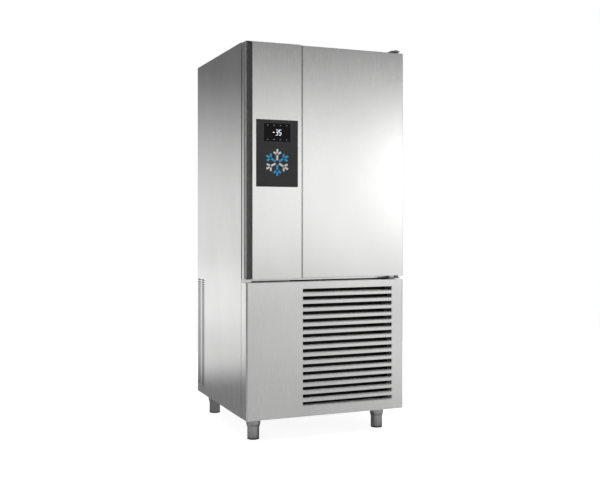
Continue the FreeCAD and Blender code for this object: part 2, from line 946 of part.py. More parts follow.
def door_insulation():
    """Foam that fills what the door's skins, caps, bushes and controls leave."""
    low = z_door_low + end_cap
    high = z_door_high - end_cap
    x_edge = x_side - outer_sheet
    core = box(-x_edge, x_edge, y_front + outer_sheet, y_door_back - outer_sheet, low, high)
    x_plug = x_cell - plug_margin - outer_sheet
    z_plug_low = z_cell_low + plug_margin + outer_sheet
    z_plug_high = z_cell_high - plug_margin - outer_sheet
    y_plug = y_door_back + plug_depth - outer_sheet
    plug = box(-x_plug, x_plug, y_door_back - 2 * outer_sheet, y_plug, z_plug_low, z_plug_high)
    above = box(x_main_left, x_side, y_front, y_door_back, z_main_high, z_door_high)
    below = box(x_main_left, x_side, y_front, y_door_back, z_door_low, z_main_low)
    core = core.cut([above, below])
    core = core.cut([door_main_skin(), door_control_strip(), door_handle_grip()])
    core = largest(core.cut([control_board(), display_window()] + hinge_bush_solids()))
    return core.fuse(plug)


def door_gasket():
    """Magnetic seal: a narrow neck on the door and a wide head that meets the cabinet."""
    x_out = x_side - seal_inset
    z_low = z_door_low + seal_rise
    z_high = z_door_high - seal_drop
    y_head = y_door_back + seal_neck_depth
    y_face = y_cabinet - contact_gap
    side = (seal_width - seal_neck) / 2
    head = ring(x_out, z_low, z_high, seal_width, y_head, y_face)
    neck = ring(x_out - side, z_low + side, z_high - side, seal_neck, y_door_back, y_head)
    return head.fuse(neck)


def ring(x_out, z_low, z_high, width, y0, y1):
    outer = box(-x_out, x_out, y0, y1, z_low, z_high)
    inner = box(-x_out + width, x_out - width, y0, y1, z_low + width, z_high - width)
    return outer.cut(inner)


def hinge_bush_solids():
    """Two plain bushes: each stands out of the door as far as its bracket."""
    half = bush_width / 2
    z_lower = z_ceiling + lower_bracket_plate + contact_gap
    z_upper = z_top - contact_gap - bush_length
    bushes = []
    for z_low in (z_lower, z_upper):
        bushes.append(
            box(hinge_x - half, hinge_x + half, hinge_y - half, hinge_y + half, z_low, z_low + bush_length)
        )
    return bushes


def hinge_bushes():
    bore = hinge_pin_radius + hinge_play
    height = z_top - z_ceiling + wall
    hole = rod(bore, height, hinge_x, hinge_y, z_ceiling - wall / 2)
    return Part.makeCompound([bush.cut(hole) for bush in hinge_bush_solids()])


# ---------------------------------------------------------------- hinge brackets on the cabinet
def top_hinge_bracket():
    x_right = x_side - bracket_side_inset
    plate = box(
        x_right - bracket_width,
        x_right,
        y_front + bracket_front_inset,
        y_cabinet + bracket_on_top,
        z_top,
        z_top + bracket_plate,
    )
    fronts = [edge for edge in plate.Edges if is_corner(edge) and edge.BoundBox.YMax < y_cabinet]
    plate = plate.makeFillet(bracket_width / 4, fronts)
    pin = rod(hinge_pin_radius, hinge_pin_reach, hinge_x, hinge_y, z_top - hinge_pin_reach)
    head = rod(hinge_pin_head, hinge_pin_head_height, hinge_x, hinge_y, z_top + bracket_plate)
    return plate.fuse([pin, head])


def bottom_hinge_bracket():
    """Angle bracket: its leg lies on the cabinet's side flange, behind the lower panel."""
    x_right = x_side - bracket_side_inset
    plate = box(
        x_right - lower_bracket_width,
        x_right,
        y_front + bracket_front_inset,
        y_cabinet,
        z_ceiling,
        z_ceiling + lower_bracket_plate,
    )
    fronts = [edge for edge in plate.Edges if is_corner(edge) and edge.BoundBox.YMax < y_cabinet - 1]
    plate = plate.makeFillet(bracket_width / 4, fronts)
    leg = box(
        x_right - lower_leg_width,
        x_right,
        y_cabinet - lower_bracket_plate,
        y_cabinet,
        z_ceiling - lower_bracket_leg,
        z_ceiling,
    )
    z_pin = z_ceiling + lower_bracket_plate
    pin = rod(hinge_pin_radius, hinge_pin_reach, hinge_x, hinge_y, z_pin)
    return plate.fuse([leg, pin])


def hinge_screws():
    """Two screws on the top bracket and two on the lower one's leg."""
    heads = []
    x_right = x_side - bracket_side_inset
    x_top = x_right - bracket_width / 2
    z_leg = z_ceiling - lower_bracket_leg / 2
    for inset in (hinge_screw_inset, bracket_on_top - hinge_screw_inset):
        seat = Vector(x_top, y_cabinet + inset, z_top + bracket_plate)
        heads.append(hexagon_head(hinge_screw_width, hinge_screw_head, seat, UP))
    for inset in (screw_width, lower_leg_width - screw_width):
        seat = Vector(x_right - inset, y_cabinet - lower_bracket_plate, z_leg)
        heads.append(hexagon_head(screw_width, screw_head, seat, -BACK))
    return Part.makeCompound(heads)


def rear_screws():
    heads = []
    x_edge = x_side - rear_flange / 2
    heights = [z_base + base_flange, z_panel_top - base_flange]
    heights += [z_panel_top + base_flange, (z_panel_top + z_top) / 2, z_top - base_flange]
    for side in (-1, 1):
        for height in heights:
            seat = Vector(side * x_edge, y_rear, height)
            heads.append(hexagon_head(screw_width, screw_head, seat, BACK))
    return Part.makeCompound(heads)


# ---------------------------------------------------------------- tray rack
def slide_heights():
    return [z_cell_low + first_tray + level * tray_pitch for level in range(tray_levels)]


def tray_slides_left():
    """Angle slides: a shelf for the tray's edge over a leg that hooks on the uprights."""
    x_out = -x_cell + upright_offset
    y_start = y_cabinet + slide_front_inset
    slides = []
    for height in slide_heights():
        profile = [
            (x_out + slide_shelf, height),
            (x_out, height),
            (x_out, height - slide_leg),
        ]
        slides.append(
            folded_sheet(
                profile,
                slide_sheet,
                lambda a, b: Vector(a, y_start, b),
                BACK * slide_length,
            )
        )
    return Part.makeCompound(slides)


def tray_slides_right():
    return mirrored(tray_slides_left())


def upright_places():
    y_start = y_cabinet + slide_front_inset
    return [y_start + upright_inset, y_start + slide_length - upright_inset - upright_width]


def rack_uprights():
    """Channel uprights, two on each side, that the slides hook on."""
    z_low = z_cell_low + rack_bottom
    z_high = z_cell_high - rack_top
    x_face = -x_cell + upright_offset
    posts = []
    for y_low in upright_places():
        profile = [
            (x_face - upright_depth, y_low),
            (x_face, y_low),
            (x_face, y_low + upright_width),
            (x_face - upright_depth, y_low + upright_width),
        ]
        posts.append(folded_sheet(profile, slide_sheet, plan(z_low), UP * (z_high - z_low)))
    return Part.makeCompound(posts + [mirrored(post) for post in posts])


def rack_hooks():
    """Blocks welded to the cell walls, inside the uprights' channels, that hold the rack."""
    hooks = []
    x_face = -x_cell + upright_offset
    for y_low in upright_places():
        for height in (z_cell_low + hook_margin, z_cell_high - hook_margin):
            hooks.append(
                box(
                    -x_cell,
                    x_face - slide_sheet,
                    y_low + slide_sheet + contact_gap,
                    y_low + upright_width - slide_sheet - contact_gap,
                    height,
                    height + hook_height,
                )
            )
    return Part.makeCompound(hooks + [mirrored(hook) for hook in hooks])


# ---------------------------------------------------------------- evaporator
def evaporator_coil():
    half = coil_half
    z_low = z_cell_low + coil_margin
    z_high = z_cell_high - coil_margin
    return finned_block(-half, half, y_coil_front, y_coil_rear, z_low, z_high, coil_fins)


def evaporator_headers():
    """Upright liquid and suction headers in front of the coil: the suction pipe leaves downwards."""
    z_low = z_cell_low + coil_margin
    z_high = z_cell_high - coil_margin
    headers = []
    for x in (suction_x, -suction_x):
        headers.append(prism(header_radius, z_high - z_low, Vector(x, suction_y, z_low), pipe_sides))
    return Part.makeCompound(headers)


def evaporator_side_plates():
    """Plates at the coil's ends, screwed to the cell's back wall: the left one carries the cover's hinge."""
    half = coil_half
    z_low = z_cell_low + side_plate_margin
    z_high = z_cell_high - side_plate_margin
    profile = [
        (-half - side_plate_flange, y_cell_rear),
        (-half, y_cell_rear),
        (-half, y_cell_rear - side_plate_depth),
    ]
    left = folded_sheet(profile[::-1], side_plate, plan(z_low), UP * (z_high - z_low))
    right = mirrored(left)
    tabs = []
    for z_tab, z_pin in (
        (z_cover_low - cover_tab_gap - cover_tab, z_cover_low - cover_tab_gap),
        (z_cover_high + cover_tab_gap, z_cover_high + cover_tab_gap - 2 * cover_tab),
    ):
        tab = box(
            cover_pivot_x - cover_tab_width / 2,
            -half,
            cover_pivot_y - cover_tab_width / 2,
            y_cell_rear - side_plate_depth + cover_tab_width,
            z_tab,
            z_tab + cover_tab,
        )
        pin = rod(cover_pin_radius, 2 * cover_tab, cover_pivot_x, cover_pivot_y, z_pin)
        tabs += [tab, pin]
    return Part.makeCompound([left.fuse(tabs), right])


def evaporator_drip_tray():
    half = coil_half
    z_low = z_cell_low + side_plate_margin
    y_low = suction_y + pipe_radius + drip_tray_sheet
    tray = box(-half, half, y_low, y_cell_rear, z_low, z_low + drip_tray_height)
    inside = box(
        -half + drip_tray_sheet,
        half - drip_tray_sheet,
        y_low + drip_tray_sheet,
        y_cell_rear - drip_tray_sheet,
        z_low + drip_tray_sheet,
        z_low + drip_tray_height,
    )
    return tray.cut(inside)


def evaporator_cover():
    """Hinged cover in front of the coil, with a slotted round grille over each fan."""
    outer = box(x_cover_left, x_cover_right, y_cover, y_cover + cover_depth, z_cover_low, z_cover_high)
    hollow = box(
        x_cover_left + cover_sheet,
        x_cover_right - cover_sheet,
        y_cover + cover_sheet,
        y_cover + cover_depth,
        z_cover_low + cover_sheet,
        z_cover_high - cover_sheet,
    )
    cuts = [hollow]
    rows = int(grille_radius // grille_pitch)
    for middle in fan_heights:
        for row in range(-rows, rows + 1):
            if row == 0:
                continue
            height = row * grille_pitch
            reach = math.sqrt(grille_radius**2 - height**2)
            z_low = middle + height - grille_slot / 2
            cuts.append(
                box(
                    x_cover_mid - reach,
                    x_cover_mid + reach,
                    y_cover - cover_sheet,
                    y_cover + 2 * cover_sheet,
                    z_low,
                    z_low + grille_slot,
                )
            )
    pin_hole = cover_pin_radius + hinge_play
    cuts.append(rod(pin_hole, z_cover_high - z_cover_low, cover_pivot_x, cover_pivot_y, z_cover_low))
    return outer.cut(cuts)


def evaporator_cover_latches():
    """Captive thumb screws along the cover's free edge."""
    heads = []
    x_latch = x_cover_right - latch_inset
    for height in (z_cover_low + latch_margin, z_cover_high - latch_margin):
        seat = Vector(x_latch, y_cover, height)
        heads.append(hexagon_head(2 * latch_radius, latch_head, seat, -BACK))
    return Part.makeCompound(heads)


# ---------------------------------------------------------------- fans
def fan_motor(x, y, z, direction):
    """A motor whose can turns: it stands on its seat at y, along the direction."""
    return rod(motor_radius, fan_hub_start + fan_hub_length + motor_nose, x, y, z, direction)


def fan_rotor(x, y, z, tip_radius, direction):
    """Hub ring fitted on the motor's can, with bowed, pitched blades."""
    start = Vector(x, y + direction.y * fan_hub_start, z)
    hub = prism(fan_hub_radius, fan_hub_length, start, hub_sides, direction)
    middle = start + direction * (fan_hub_length / 2)
    blades = []
    for number in range(fan_blades):
        blade = fan_blade(tip_radius)
        blade.rotate(Vector(0, 0, 0), BACK, number * 360 / fan_blades)
        blade.translate(middle)
        blades.append(blade)
    bore = prism(motor_radius + motor_play, fan_hub_length, start, hub_sides, direction)
    return hub.fuse(blades).cut(bore)


def fan_blade(tip_radius):
    """A bowed sheet of three flats, pitched about its own spoke, with its tip and root trimmed."""
    half = blade_chord / 2
    profile = [(half, 0), (half / 3, -blade_camber), (-half / 3, -blade_camber), (-half, 0)]
    root = fan_hub_radius - blade_root
    sheet = folded_sheet(profile, blade_sheet, plan(root), UP * (tip_radius - root))
    sheet.rotate(Vector(0, 0, 0), UP, blade_pitch_angle)
    span = half * math.cos(math.radians(blade_pitch_angle))
    outline = [
        (-span / 3, root),
        (-span, root + span),
        (-span, tip_radius - span / 2),
        (-span / 3, tip_radius - tip_drop),
        (span / 3, tip_radius - tip_drop),
        (span, tip_radius - span / 2),
        (span, root + span),
        (span / 3, root),
    ]
    window = polygon(outline, lambda a, b: Vector(a, -blade_chord, b), BACK * 2 * blade_chord)
    return sheet.common(window)


def evaporator_fan_motors():
    """Motors on the back of the cover's grilles."""
    motors = [fan_motor(x_cover_mid, y_cover + cover_sheet, height, BACK) for height in fan_heights]
    return Part.makeCompound(motors)


def evaporator_fan(height):
    return fan_rotor(x_cover_mid, y_cover + cover_sheet, height, fan_tip_radius, BACK)


def condenser_fan_blades():
    y_seat = y_shroud_back + spider_stand
    return fan_rotor(x_condenser_mid, y_seat, z_condenser_mid, condenser_tip_radius, -BACK)


# ---------------------------------------------------------------- condensing unit
def condenser_coil():
    return finned_block(
        x_condenser,
        x_condenser_right,
        y_condenser,
        y_condenser_back,
        z_pan,
        z_condenser_top,
        condenser_fins,
    )


def air_filter():
    """Flat filter in its frame, against the condenser's front."""
    y_low = y_condenser - filter_depth
    frame = box(x_condenser, x_condenser_right, y_low, y_condenser, z_pan, z_condenser_top)
    recess = box(
        x_condenser + filter_frame,
        x_condenser_right - filter_frame,
        y_low,
        y_low + filter_depth / 2,
        z_pan + filter_frame,
        z_condenser_top - filter_frame,
    )
    return frame.cut(recess)


def condenser_fan_shroud():
    outer = box(
        x_condenser,
        x_condenser_right,
        y_condenser_back,
        y_shroud_back,
        z_pan,
        z_condenser_top,
    )
    hollow = box(
        x_condenser + shroud_sheet,
        x_condenser_right - shroud_sheet,
        y_condenser_back,
        y_shroud_back - shroud_sheet,
        z_pan + shroud_sheet,
        z_condenser_top - shroud_sheet,
    )
    throat = rod(
        condenser_tip_radius + shroud_clearance,
        shroud_depth,
        x_condenser_mid,
        y_shroud_back - shroud_depth / 2,
        z_condenser_mid,
        BACK,
    )
    return outer.cut([hollow, throat])


def condenser_fan_motor():
    """Motor behind the shroud, held by two bars that stand on the shroud's back."""
    y_bar = y_shroud_back + spider_stand
    body = fan_motor(x_condenser_mid, y_bar, z_condenser_mid, -BACK)
    reach = condenser_tip_radius + shroud_clearance + spider_width
    bars = []
    for side in (-1, 1):
        middle = z_condenser_mid + side * spider_spacing / 2
        low = middle - spider_width / 2
        high = middle + spider_width / 2
        x_low = x_condenser_mid - reach
        x_high = x_condenser_mid + reach
        bars.append(box(x_low, x_high, y_bar, y_bar + spider_sheet, low, high))
        for x_leg in (x_low, x_high - spider_sheet):
            bars.append(box(x_leg, x_leg + spider_sheet, y_shroud_back, y_bar, low, high))
    return body.fuse(bars)


def compressor():
    """Welded can with a tapered top, on its mounting plate: the hidden can is drawn with flats."""
    z_plate = z_pan + grommet_height
    z_can = z_plate + compressor_plate
    foot_of_can = Vector(compressor_x, compressor_y, z_can)
    can = prism(compressor_radius, compressor_height, foot_of_can, can_sides)
    can = can.makeChamfer(compressor_shoulder, edges_at_top(can))
    half = compressor_plate_size / 2
    x_low = compressor_x - half
    y_low = compressor_y - half
    plate = box(x_low, x_low + 2 * half, y_low, y_low + 2 * half, z_plate, z_can)
    return can.fuse(plate)


def edges_at_top(shape):
    return [edge for edge in shape.Edges if edge.BoundBox.ZMin > shape.BoundBox.ZMax - 1e-3]


def compressor_grommets():
    """Rubber blocks under the corners of the compressor's plate."""
    half = grommet_width / 2
    blocks = []
    for side in (-1, 1):
        for end in (-1, 1):
            x = compressor_x + side * grommet_spacing / 2
            y = compressor_y + end * grommet_spacing / 2
            blocks.append(box(x - half, x + half, y - half, y + half, z_pan, z_pan + grommet_height))
    return Part.makeCompound(blocks)


def liquid_receiver():
    return prism(receiver_radius, receiver_height, Vector(receiver_x, receiver_y, z_pan), can_sides)


def refrigerant_pipes():
    """Suction line from the cell, liquid line with its filter drier, discharge line to the condenser."""
    z_can_top = z_pan + grommet_height + compressor_plate + compressor_height
    z_run = z_can_top + 4 * pipe_radius
    z_header = z_cell_low + coil_margin
    suction = pipe(
        [
            (suction_x, suction_y, z_header),
            (suction_x, suction_y, z_run),
            (compressor_x + 4 * pipe_radius, compressor_y, z_run),
            (compressor_x + 4 * pipe_radius, compressor_y, z_can_top),
        ],
        pipe_radius,
    )
    z_receiver = z_pan + receiver_height
    z_drier = z_receiver - drier_height / 2
    z_loop = z_receiver + drier_height
    drier = rod(drier_radius, drier_height, drier_x, drier_y, z_drier)
    liquid = pipe(
        [
            (receiver_x, receiver_y, z_receiver),
            (receiver_x, receiver_y, z_loop),
            (drier_x, drier_y, z_loop),
            (drier_x, drier_y, z_drier + drier_height),
        ],
        pipe_radius,
    )
    z_inlet = z_condenser_top - coil_frame / 2
    x_inlet = x_condenser_right
    discharge = pipe(
        [
            (compressor_x - 4 * pipe_radius, compressor_y, z_can_top),
            (compressor_x - 4 * pipe_radius, compressor_y, z_run + 6 * pipe_radius),
            (x_inlet + 3 * pipe_radius, compressor_y, z_run + 6 * pipe_radius),
            (x_inlet + 3 * pipe_radius, y_condenser + condenser_depth / 2, z_inlet),
            (x_inlet, y_condenser + condenser_depth / 2, z_inlet),
        ],
        pipe_radius,
    )
    return Part.makeCompound([suction, liquid, drier, discharge])


# ---------------------------------------------------------------- electrical parts
def electrical_box():
    """Open-fronted steel box under the cell, behind the plain part of the lower panel."""
    x_left = -x_side + box_left
    y_low = y_inside_front + post_width
    outer = box(x_left, x_left + box_width, y_low, y_low + box_depth, z_ceiling - box_height, z_ceiling)
    inside = box(
        x_left + box_sheet,
        x_left + box_width - box_sheet,
        y_low,
        y_low + box_depth - box_sheet,
        z_ceiling - box_height + box_sheet,
        z_ceiling - box_sheet,
    )
    return outer.cut(inside)


def electrical_box_cover():
    x_left = -x_side + box_left
    y_low = y_inside_front + post_width
    return box(x_left, x_left + box_width, y_low - box_sheet, y_low, z_ceiling - box_height, z_ceiling)


def supply_cable_gland():
    """Hexagon gland under the base, for the supply cable."""
    nut = hexagon_head(gland_width, gland_reach, Vector(gland_x, gland_y, z_base - gland_reach), UP)
    return nut.cut(rod(gland_bore, gland_reach, gland_x, gland_y, z_base - gland_reach))


# ---------------------------------------------------------------- export
def export(name, shape):
    path = os.path.join("parts", name + ".step")
    shape.exportStep(path)
    print(f"{name}: {len(shape.Solids)} solid(s), {shape.Volume / 1000:.1f} cm3, valid {shape.isValid()}")


def main():
    os.makedirs("parts", exist_ok=True)
    pieces = [
        left_side_panel,
        right_side_panel,
        top_panel,
        back_panel,
        rear_service_panel,
        cell_floor_skin,
        cabinet_insulation,
        cell_liner,
        thermal_break_frame,
        cell_drain,
        base_frame,
        foot_sleeves,
        lower_front_panel,
        front_posts,
        door_main_skin,
        door_control_strip,
        door_handle_grip,
        door_end_caps,
        door_inner_panel,
        door_insulation,
        door_gasket,
        control_fascia,
        display_window,
        control_board,
        hinge_bushes,
        top_hinge_bracket,
        bottom_hinge_bracket,
        hinge_screws,
        rear_screws,
        tray_slides_left,
        tray_slides_right,
        rack_uprights,
        rack_hooks,
        evaporator_coil,
        evaporator_headers,
        evaporator_side_plates,
        evaporator_drip_tray,
        evaporator_cover,
        evaporator_cover_latches,
        evaporator_fan_motors,
        condenser_coil,
        air_filter,
        condenser_fan_shroud,
        condenser_fan_motor,
        condenser_fan_blades,
        compressor,
        compressor_grommets,
        liquid_receiver,
        refrigerant_pipes,
        electrical_box,
        electrical_box_cover,
        supply_cable_gland,
    ]
    for piece in pieces:
        export(piece.__name__, piece())
    export("evaporator_fan_lower", evaporator_fan(fan_heights[0]))
    export("evaporator_fan_upper", evaporator_fan(fan_heights[1]))
    for name, (x, y) in foot_places.items():
        export("foot_" + name, foot(x, y))


main()
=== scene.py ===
# Blast chiller: finishes, display, studio and camera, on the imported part.
import json
import math

import bpy
import numpy as np
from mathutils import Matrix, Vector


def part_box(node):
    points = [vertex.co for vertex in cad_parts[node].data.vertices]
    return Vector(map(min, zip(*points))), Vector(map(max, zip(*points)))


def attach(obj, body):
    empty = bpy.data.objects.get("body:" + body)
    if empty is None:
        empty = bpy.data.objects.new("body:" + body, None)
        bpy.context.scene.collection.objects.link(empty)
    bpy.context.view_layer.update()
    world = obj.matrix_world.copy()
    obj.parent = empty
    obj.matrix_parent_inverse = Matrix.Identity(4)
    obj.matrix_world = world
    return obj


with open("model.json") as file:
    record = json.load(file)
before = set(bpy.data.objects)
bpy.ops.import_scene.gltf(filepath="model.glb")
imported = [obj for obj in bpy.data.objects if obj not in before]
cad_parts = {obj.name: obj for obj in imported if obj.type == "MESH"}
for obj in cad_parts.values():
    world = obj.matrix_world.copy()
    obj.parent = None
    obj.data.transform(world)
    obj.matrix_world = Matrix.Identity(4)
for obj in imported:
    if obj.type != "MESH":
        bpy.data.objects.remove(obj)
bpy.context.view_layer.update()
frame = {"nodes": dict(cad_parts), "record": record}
nodes = frame["nodes"]
print("part loaded:", len(nodes), "nodes")


# the edges of a node's box as two plain lists, in metres
def nodeBox(name):
    low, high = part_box(name)
    return [float(v) for v in low], [float(v) for v in high]


# a material, its node tree and its shader
def newFinish(name, colour, metallic, roughness):
    finish = bpy.data.materials.new(name)
    finish.use_nodes = True
    shader = finish.node_tree.nodes["Principled BSDF"]
    shader.inputs["Base Color"].default_value = (*colour, 1)
    shader.inputs["Metallic"].default_value = metallic
    shader.inputs["Roughness"].default_value = roughness
    return finish, finish.node_tree, shader


# a shader node; a setting goes to the socket of that name, or else to the node itself
def addNode(tree, kind, **settings):
    node = tree.nodes.new(kind)
    for key, value in settings.items():
        if key in node.inputs:
            node.inputs[key].default_value = value
        else:
            setattr(node, key, value)
    return node


# noise stretched along the axes: scale is in lines per metre on each axis
def stretchedNoise(tree, scale, detail=2.0):
    place = addNode(tree, "ShaderNodeTexCoord")
    stretch = addNode(tree, "ShaderNodeMapping", Scale=scale)
    noise = addNode(tree, "ShaderNodeTexNoise", Scale=1.0, Detail=detail)
    tree.links.new(place.outputs["Object"], stretch.inputs["Vector"])
    tree.links.new(stretch.outputs["Vector"], noise.inputs["Vector"])
    return noise.outputs["Fac"]


# a value that runs from low to high as the noise runs from 0.3 to 0.7
def spread(tree, source, low, high):
    span = addNode(tree, "ShaderNodeMapRange")
    span.inputs["From Min"].default_value = 0.3
    span.inputs["From Max"].default_value = 0.7
    span.inputs["To Min"].default_value = low
    span.inputs["To Max"].default_value = high
    tree.links.new(source, span.inputs["Value"])
    return span.outputs["Result"]


mixLow, mixHigh, mixResult = 6, 7, 2  # places of a mix node's colour sockets


# a colour between two, picked by a value
def tintBy(tree, source, dark, light):
    mix = addNode(tree, "ShaderNodeMix", data_type="RGBA")
    mix.inputs[mixLow].default_value = (*dark, 1)
    mix.inputs[mixHigh].default_value = (*light, 1)
    tree.links.new(source, mix.inputs["Factor"])
    return mix.outputs[mixResult]


def dimmed(tone, share):
    return [c * share for c in tone]


# relief of a height in metres from a value
def roughen(tree, shader, source, height):
    bump = addNode(tree, "ShaderNodeBump", Distance=height, Strength=1.0)
    tree.links.new(source, bump.inputs["Height"])
    tree.links.new(bump.outputs["Normal"], shader.inputs["Normal"])


grainDepth = 0.00002  # relief of the brushed grain
satinSpan = 0.04  # roughness above and below the mean, from line to line
cloudShare = 0.035  # how much the broad clouds change the tone
cloudScale = (3.0, 3.0, 1.6)


# satin steel: fine grain in roughness and relief, with faint broad clouds of tone
def brushedSteel(name, tone, grain, satin):
    finish, tree, shader = newFinish(name, tone, 1.0, satin)
    lines = stretchedNoise(tree, grain, 3.0)
    dulled = spread(tree, lines, satin - satinSpan, satin + satinSpan)
    tree.links.new(dulled, shader.inputs["Roughness"])
    cloud = spread(tree, stretchedNoise(tree, cloudScale, 2.0), 0, 1)
    dark = dimmed(tone, 1 - cloudShare)
    light = [min(1, c * (1 + cloudShare)) for c in tone]
    tree.links.new(tintBy(tree, cloud, dark, light), shader.inputs["Base Color"])
    roughen(tree, shader, lines, grainDepth)
    return finish


spangle = {
    "scale": 90.0,  # patches per metre
    "dark": 0.82,  # share of the tone in a patch's middle
    "gloss": 0.34,  # roughness in a patch's middle
    "satin": 0.5,  # and at its edge
}


# zinc coating: patches of slightly different grey
def zincCoat(name, tone):
    finish, tree, shader = newFinish(name, tone, 1.0, 0.42)
    place = addNode(tree, "ShaderNodeTexCoord")
    cells = addNode(tree, "ShaderNodeTexVoronoi", Scale=spangle["scale"])
    tree.links.new(place.outputs["Object"], cells.inputs["Vector"])
    patch = cells.outputs["Distance"]
    tint = tintBy(tree, patch, dimmed(tone, spangle["dark"]), tone)
    tree.links.new(tint, shader.inputs["Base Color"])
    dulled = spread(tree, patch, spangle["gloss"], spangle["satin"])
    tree.links.new(dulled, shader.inputs["Roughness"])
    return finish


# matt moulded plastic, rubber or paint: fine speckle in relief and tone
def mattSurface(name, tone, roughness, speckle=900.0, relief=0.00004):
    finish, tree, shader = newFinish(name, tone, 0.0, roughness)
    grit = stretchedNoise(tree, (speckle,) * 3, 2.0)
    tree.links.new(tintBy(tree, grit, dimmed(tone, 0.85), tone), shader.inputs["Base Color"])
    roughen(tree, shader, grit, relief)
    return finish


bandWidth = 0.314  # metres from one band of a wave node to the next, at scale 1
finRelief = 0.0006


# fin stacks: thin upright fins as light lines across the face, with painted shade as the dark
# lines between them
def finStack(name, tone, pitch):
    finish, tree, shader = newFinish(name, tone, 1.0, 0.4)
    place = addNode(tree, "ShaderNodeTexCoord")
    wave = addNode(tree, "ShaderNodeTexWave", Scale=bandWidth / pitch)
    wave.bands_direction = "X"
    tree.links.new(place.outputs["Object"], wave.inputs["Vector"])
    fins = wave.outputs["Fac"]
    # the dark share is painted shade in the gaps between the fins
    tree.links.new(tintBy(tree, fins, dimmed(tone, 0.25), tone), shader.inputs["Base Color"])
    roughen(tree, shader, fins, finRelief)
    return finish


foamScale = 260.0  # cells per metre
foamRelief = 0.0004


# rigid foam: pale cells of uneven size
def rigidFoam(name, tone):
    finish, tree, shader = newFinish(name, tone, 0.0, 0.9)
    bubbles = stretchedNoise(tree, (foamScale,) * 3, 6.0)
    tree.links.new(tintBy(tree, bubbles, dimmed(tone, 0.8), tone), shader.inputs["Base Color"])
    roughen(tree, shader, bubbles, foamRelief)
    return finish


# one where every limit holds, else nought: a limit is (axis, "above" or "below", place in metres)
def zone(tree, limits):
    place = addNode(tree, "ShaderNodeTexCoord")
    split = addNode(tree, "ShaderNodeSeparateXYZ")
    tree.links.new(place.outputs["Object"], split.inputs["Vector"])
    total = None
    for axis, side, value in limits:
        kind = {"above": "GREATER_THAN", "below": "LESS_THAN"}[side]
        test = addNode(tree, "ShaderNodeMath", operation=kind)
        test.inputs[1].default_value = value
        tree.links.new(split.outputs[axis], test.inputs[0])
        if total is None:
            total = test.outputs[0]
            continue
        both = addNode(tree, "ShaderNodeMath", operation="MULTIPLY")
        tree.links.new(total, both.inputs[0])
        tree.links.new(test.outputs[0], both.inputs[1])
        total = both.outputs[0]
    return total


# another tone inside a zone of a finished steel, for the foot's rubber pad and for painted shade;
# metallic is 0 where rubber covers it and on the faces painted dark as shade
def toneInZone(finish, limits, tone, metallic):
    tree = finish.node_tree
    shader = tree.nodes["Principled BSDF"]
    inside = zone(tree, limits)
    colour = shader.inputs["Base Color"].links[0].from_socket
    pick = addNode(tree, "ShaderNodeMix", data_type="RGBA")
    pick.inputs[mixHigh].default_value = (*tone, 1)
    tree.links.new(inside, pick.inputs["Factor"])
    tree.links.new(colour, pick.inputs[mixLow])
    tree.links.new(pick.outputs[mixResult], shader.inputs["Base Color"])
    if metallic < 1.0:
        metal = addNode(tree, "ShaderNodeMapRange")
        metal.inputs["To Min"].default_value = 1.0
        metal.inputs["To Max"].default_value = metallic
        tree.links.new(inside, metal.inputs["Value"])
        tree.links.new(metal.outputs["Result"], shader.inputs["Metallic"])
    return finish


upright = (1400.0, 1400.0, 14.0)  # grain that runs up the sheets
level = (14.0, 1400.0, 1400.0)  # grain that runs across
coarse = (500.0, 500.0, 30.0)  # grain of the turned feet
padBlack = (0.015, 0.015, 0.016)


# the foot's steel over its black pad, which ends at a height
def steelOnPad(name, tone, padHeight):
    steel = brushedSteel(name, tone, coarse, 0.3)
    return toneInZone(steel, [("Z", "below", padHeight)], padBlack, 0.0)


skin = {
    "tone": (0.82, 0.82, 0.815),
    "satin": 0.24,
    "sheet": 0.001,  # thickness
    "bayShade": (0.03, 0.03, 0.032),  # painted shade on the faces towards the machine bay, where they lie in shadow
    "hollow": (0.6, 0.6, 0.6),  # painted shade inside the grip
    "gripWall": 0.012,  # from the door's left side to where the hollow starts
}
finishes = {
    "stainless_skin": brushedSteel("satinSkin", skin["tone"], upright, skin["satin"]),
    "stainless_inside": brushedSteel("satinInside", (0.68, 0.69, 0.69), upright, 0.3),
    "hinge_steel": brushedSteel("hingeSteel", (0.3, 0.3, 0.3), level, 0.36),
    "galvanised": zincCoat("zincCoat", (0.5, 0.51, 0.52)),
    "foot_steel": steelOnPad("footSteel", (0.52, 0.52, 0.525), padHeight=0.006),
    "foam": rigidFoam("rigidFoam", (0.82, 0.76, 0.5)),
    "break_plastic": mattSurface("greyPlastic", (0.42, 0.43, 0.44), 0.5),
    "gasket": mattSurface("greyRubber", (0.09, 0.09, 0.092), 0.62, speckle=400.0),
    "fascia": mattSurface(
        "charcoalOverlay", (0.022, 0.022, 0.023), 0.5, speckle=1500.0, relief=0.00001
    ),
    "display_glass": mattSurface(
        "blackGlass", (0.002, 0.002, 0.003), 0.12, speckle=30.0, relief=0.0
    ),
    "circuit_board": mattSurface("circuitBoard", (0.02, 0.16, 0.06), 0.45, speckle=300.0),
    "coil_aluminium": finStack("finStack", (0.78, 0.79, 0.8), pitch=0.0032),
    "filter_mesh": mattSurface("filterMesh", (0.006, 0.006, 0.006), 0.9, relief=0.0002),
    "fan_aluminium": mattSurface("coatedBlades", (0.05, 0.052, 0.055), 0.42, speckle=700.0),
    "copper": brushedSteel("drawnCopper", (0.8, 0.42, 0.27), upright, 0.28),
    "black_paint": mattSurface(
        "blackPaint", (0.016, 0.016, 0.018), 0.34, speckle=500.0, relief=0.00006
    ),
    "black_plastic": mattSurface("blackPlastic", (0.02, 0.02, 0.02), 0.5),
}
glassShine = 0.12  # low, so that the window stays black
glass = finishes["display_glass"].node_tree.nodes["Principled BSDF"]
glass.inputs["Specular IOR Level"].default_value = glassShine
slotOf = {entry["node"]: entry["material_slot"] for entry in frame["record"]["subparts"]}
